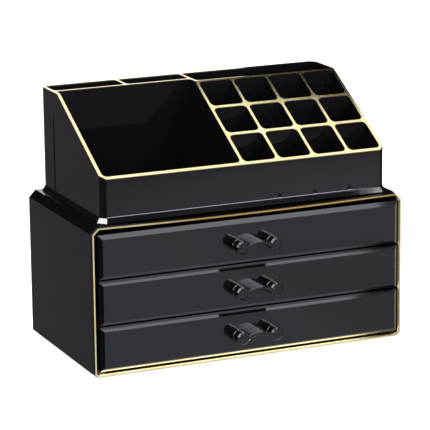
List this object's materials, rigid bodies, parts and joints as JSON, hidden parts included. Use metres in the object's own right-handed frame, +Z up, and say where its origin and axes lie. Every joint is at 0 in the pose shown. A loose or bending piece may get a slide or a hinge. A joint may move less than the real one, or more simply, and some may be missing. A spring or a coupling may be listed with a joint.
{
  "type": "makeup organizer with drawers",
  "caption": "Makeup organizer: a black cabinet of slide-out drawers under a lift-off tray with a bin, lipstick cells and slots, edged in gold.",
  "frame": {"origin": "centre of the cabinet's flat underside", "axes": "+Z up, front (drawer faces and handles) towards -Y, +X to the right seen from the front"},
  "size_m": [0.24, 0.1404, 0.1848],
  "materials": {
    "black": "gloss black moulded polystyrene",
    "gold": "gold hot-stamp foil, satin",
    "steel": "zinc-plated"
  },
  "bodies": {
    "cabinet": {"cabinet_shell": "black", "cabinet_gold_rim": "gold"},
    "tray": {"tray": "black", "tray_gold_rim": "gold"},
    "top_drawer": {"top_drawer": "black", "top_handle": "black", "top_handle_screw_left": "steel", "top_handle_screw_right": "steel"},
    "middle_drawer": {"middle_drawer": "black", "middle_handle": "black", "middle_handle_screw_left": "steel", "middle_handle_screw_right": "steel"},
    "bottom_drawer": {"bottom_drawer": "black", "bottom_handle": "black", "bottom_handle_screw_left": "steel", "bottom_handle_screw_right": "steel"}
  },
  "joints": [
    {"name": "top_drawer_slide", "type": "slide", "parent": "cabinet", "child": "top_drawer", "axis": [0, -1, 0], "range_m": [0, 0.095]},
    {"name": "middle_drawer_slide", "type": "slide", "parent": "cabinet", "child": "middle_drawer", "axis": [0, -1, 0], "range_m": [0, 0.095]},
    {"name": "bottom_drawer_slide", "type": "slide", "parent": "cabinet", "child": "bottom_drawer", "axis": [0, -1, 0], "range_m": [0, 0.095]},
    {"name": "tray_lift", "type": "slide", "parent": "cabinet", "child": "tray", "axis": [0, 0, 1], "range_m": [0, 0.06]}
  ]
}
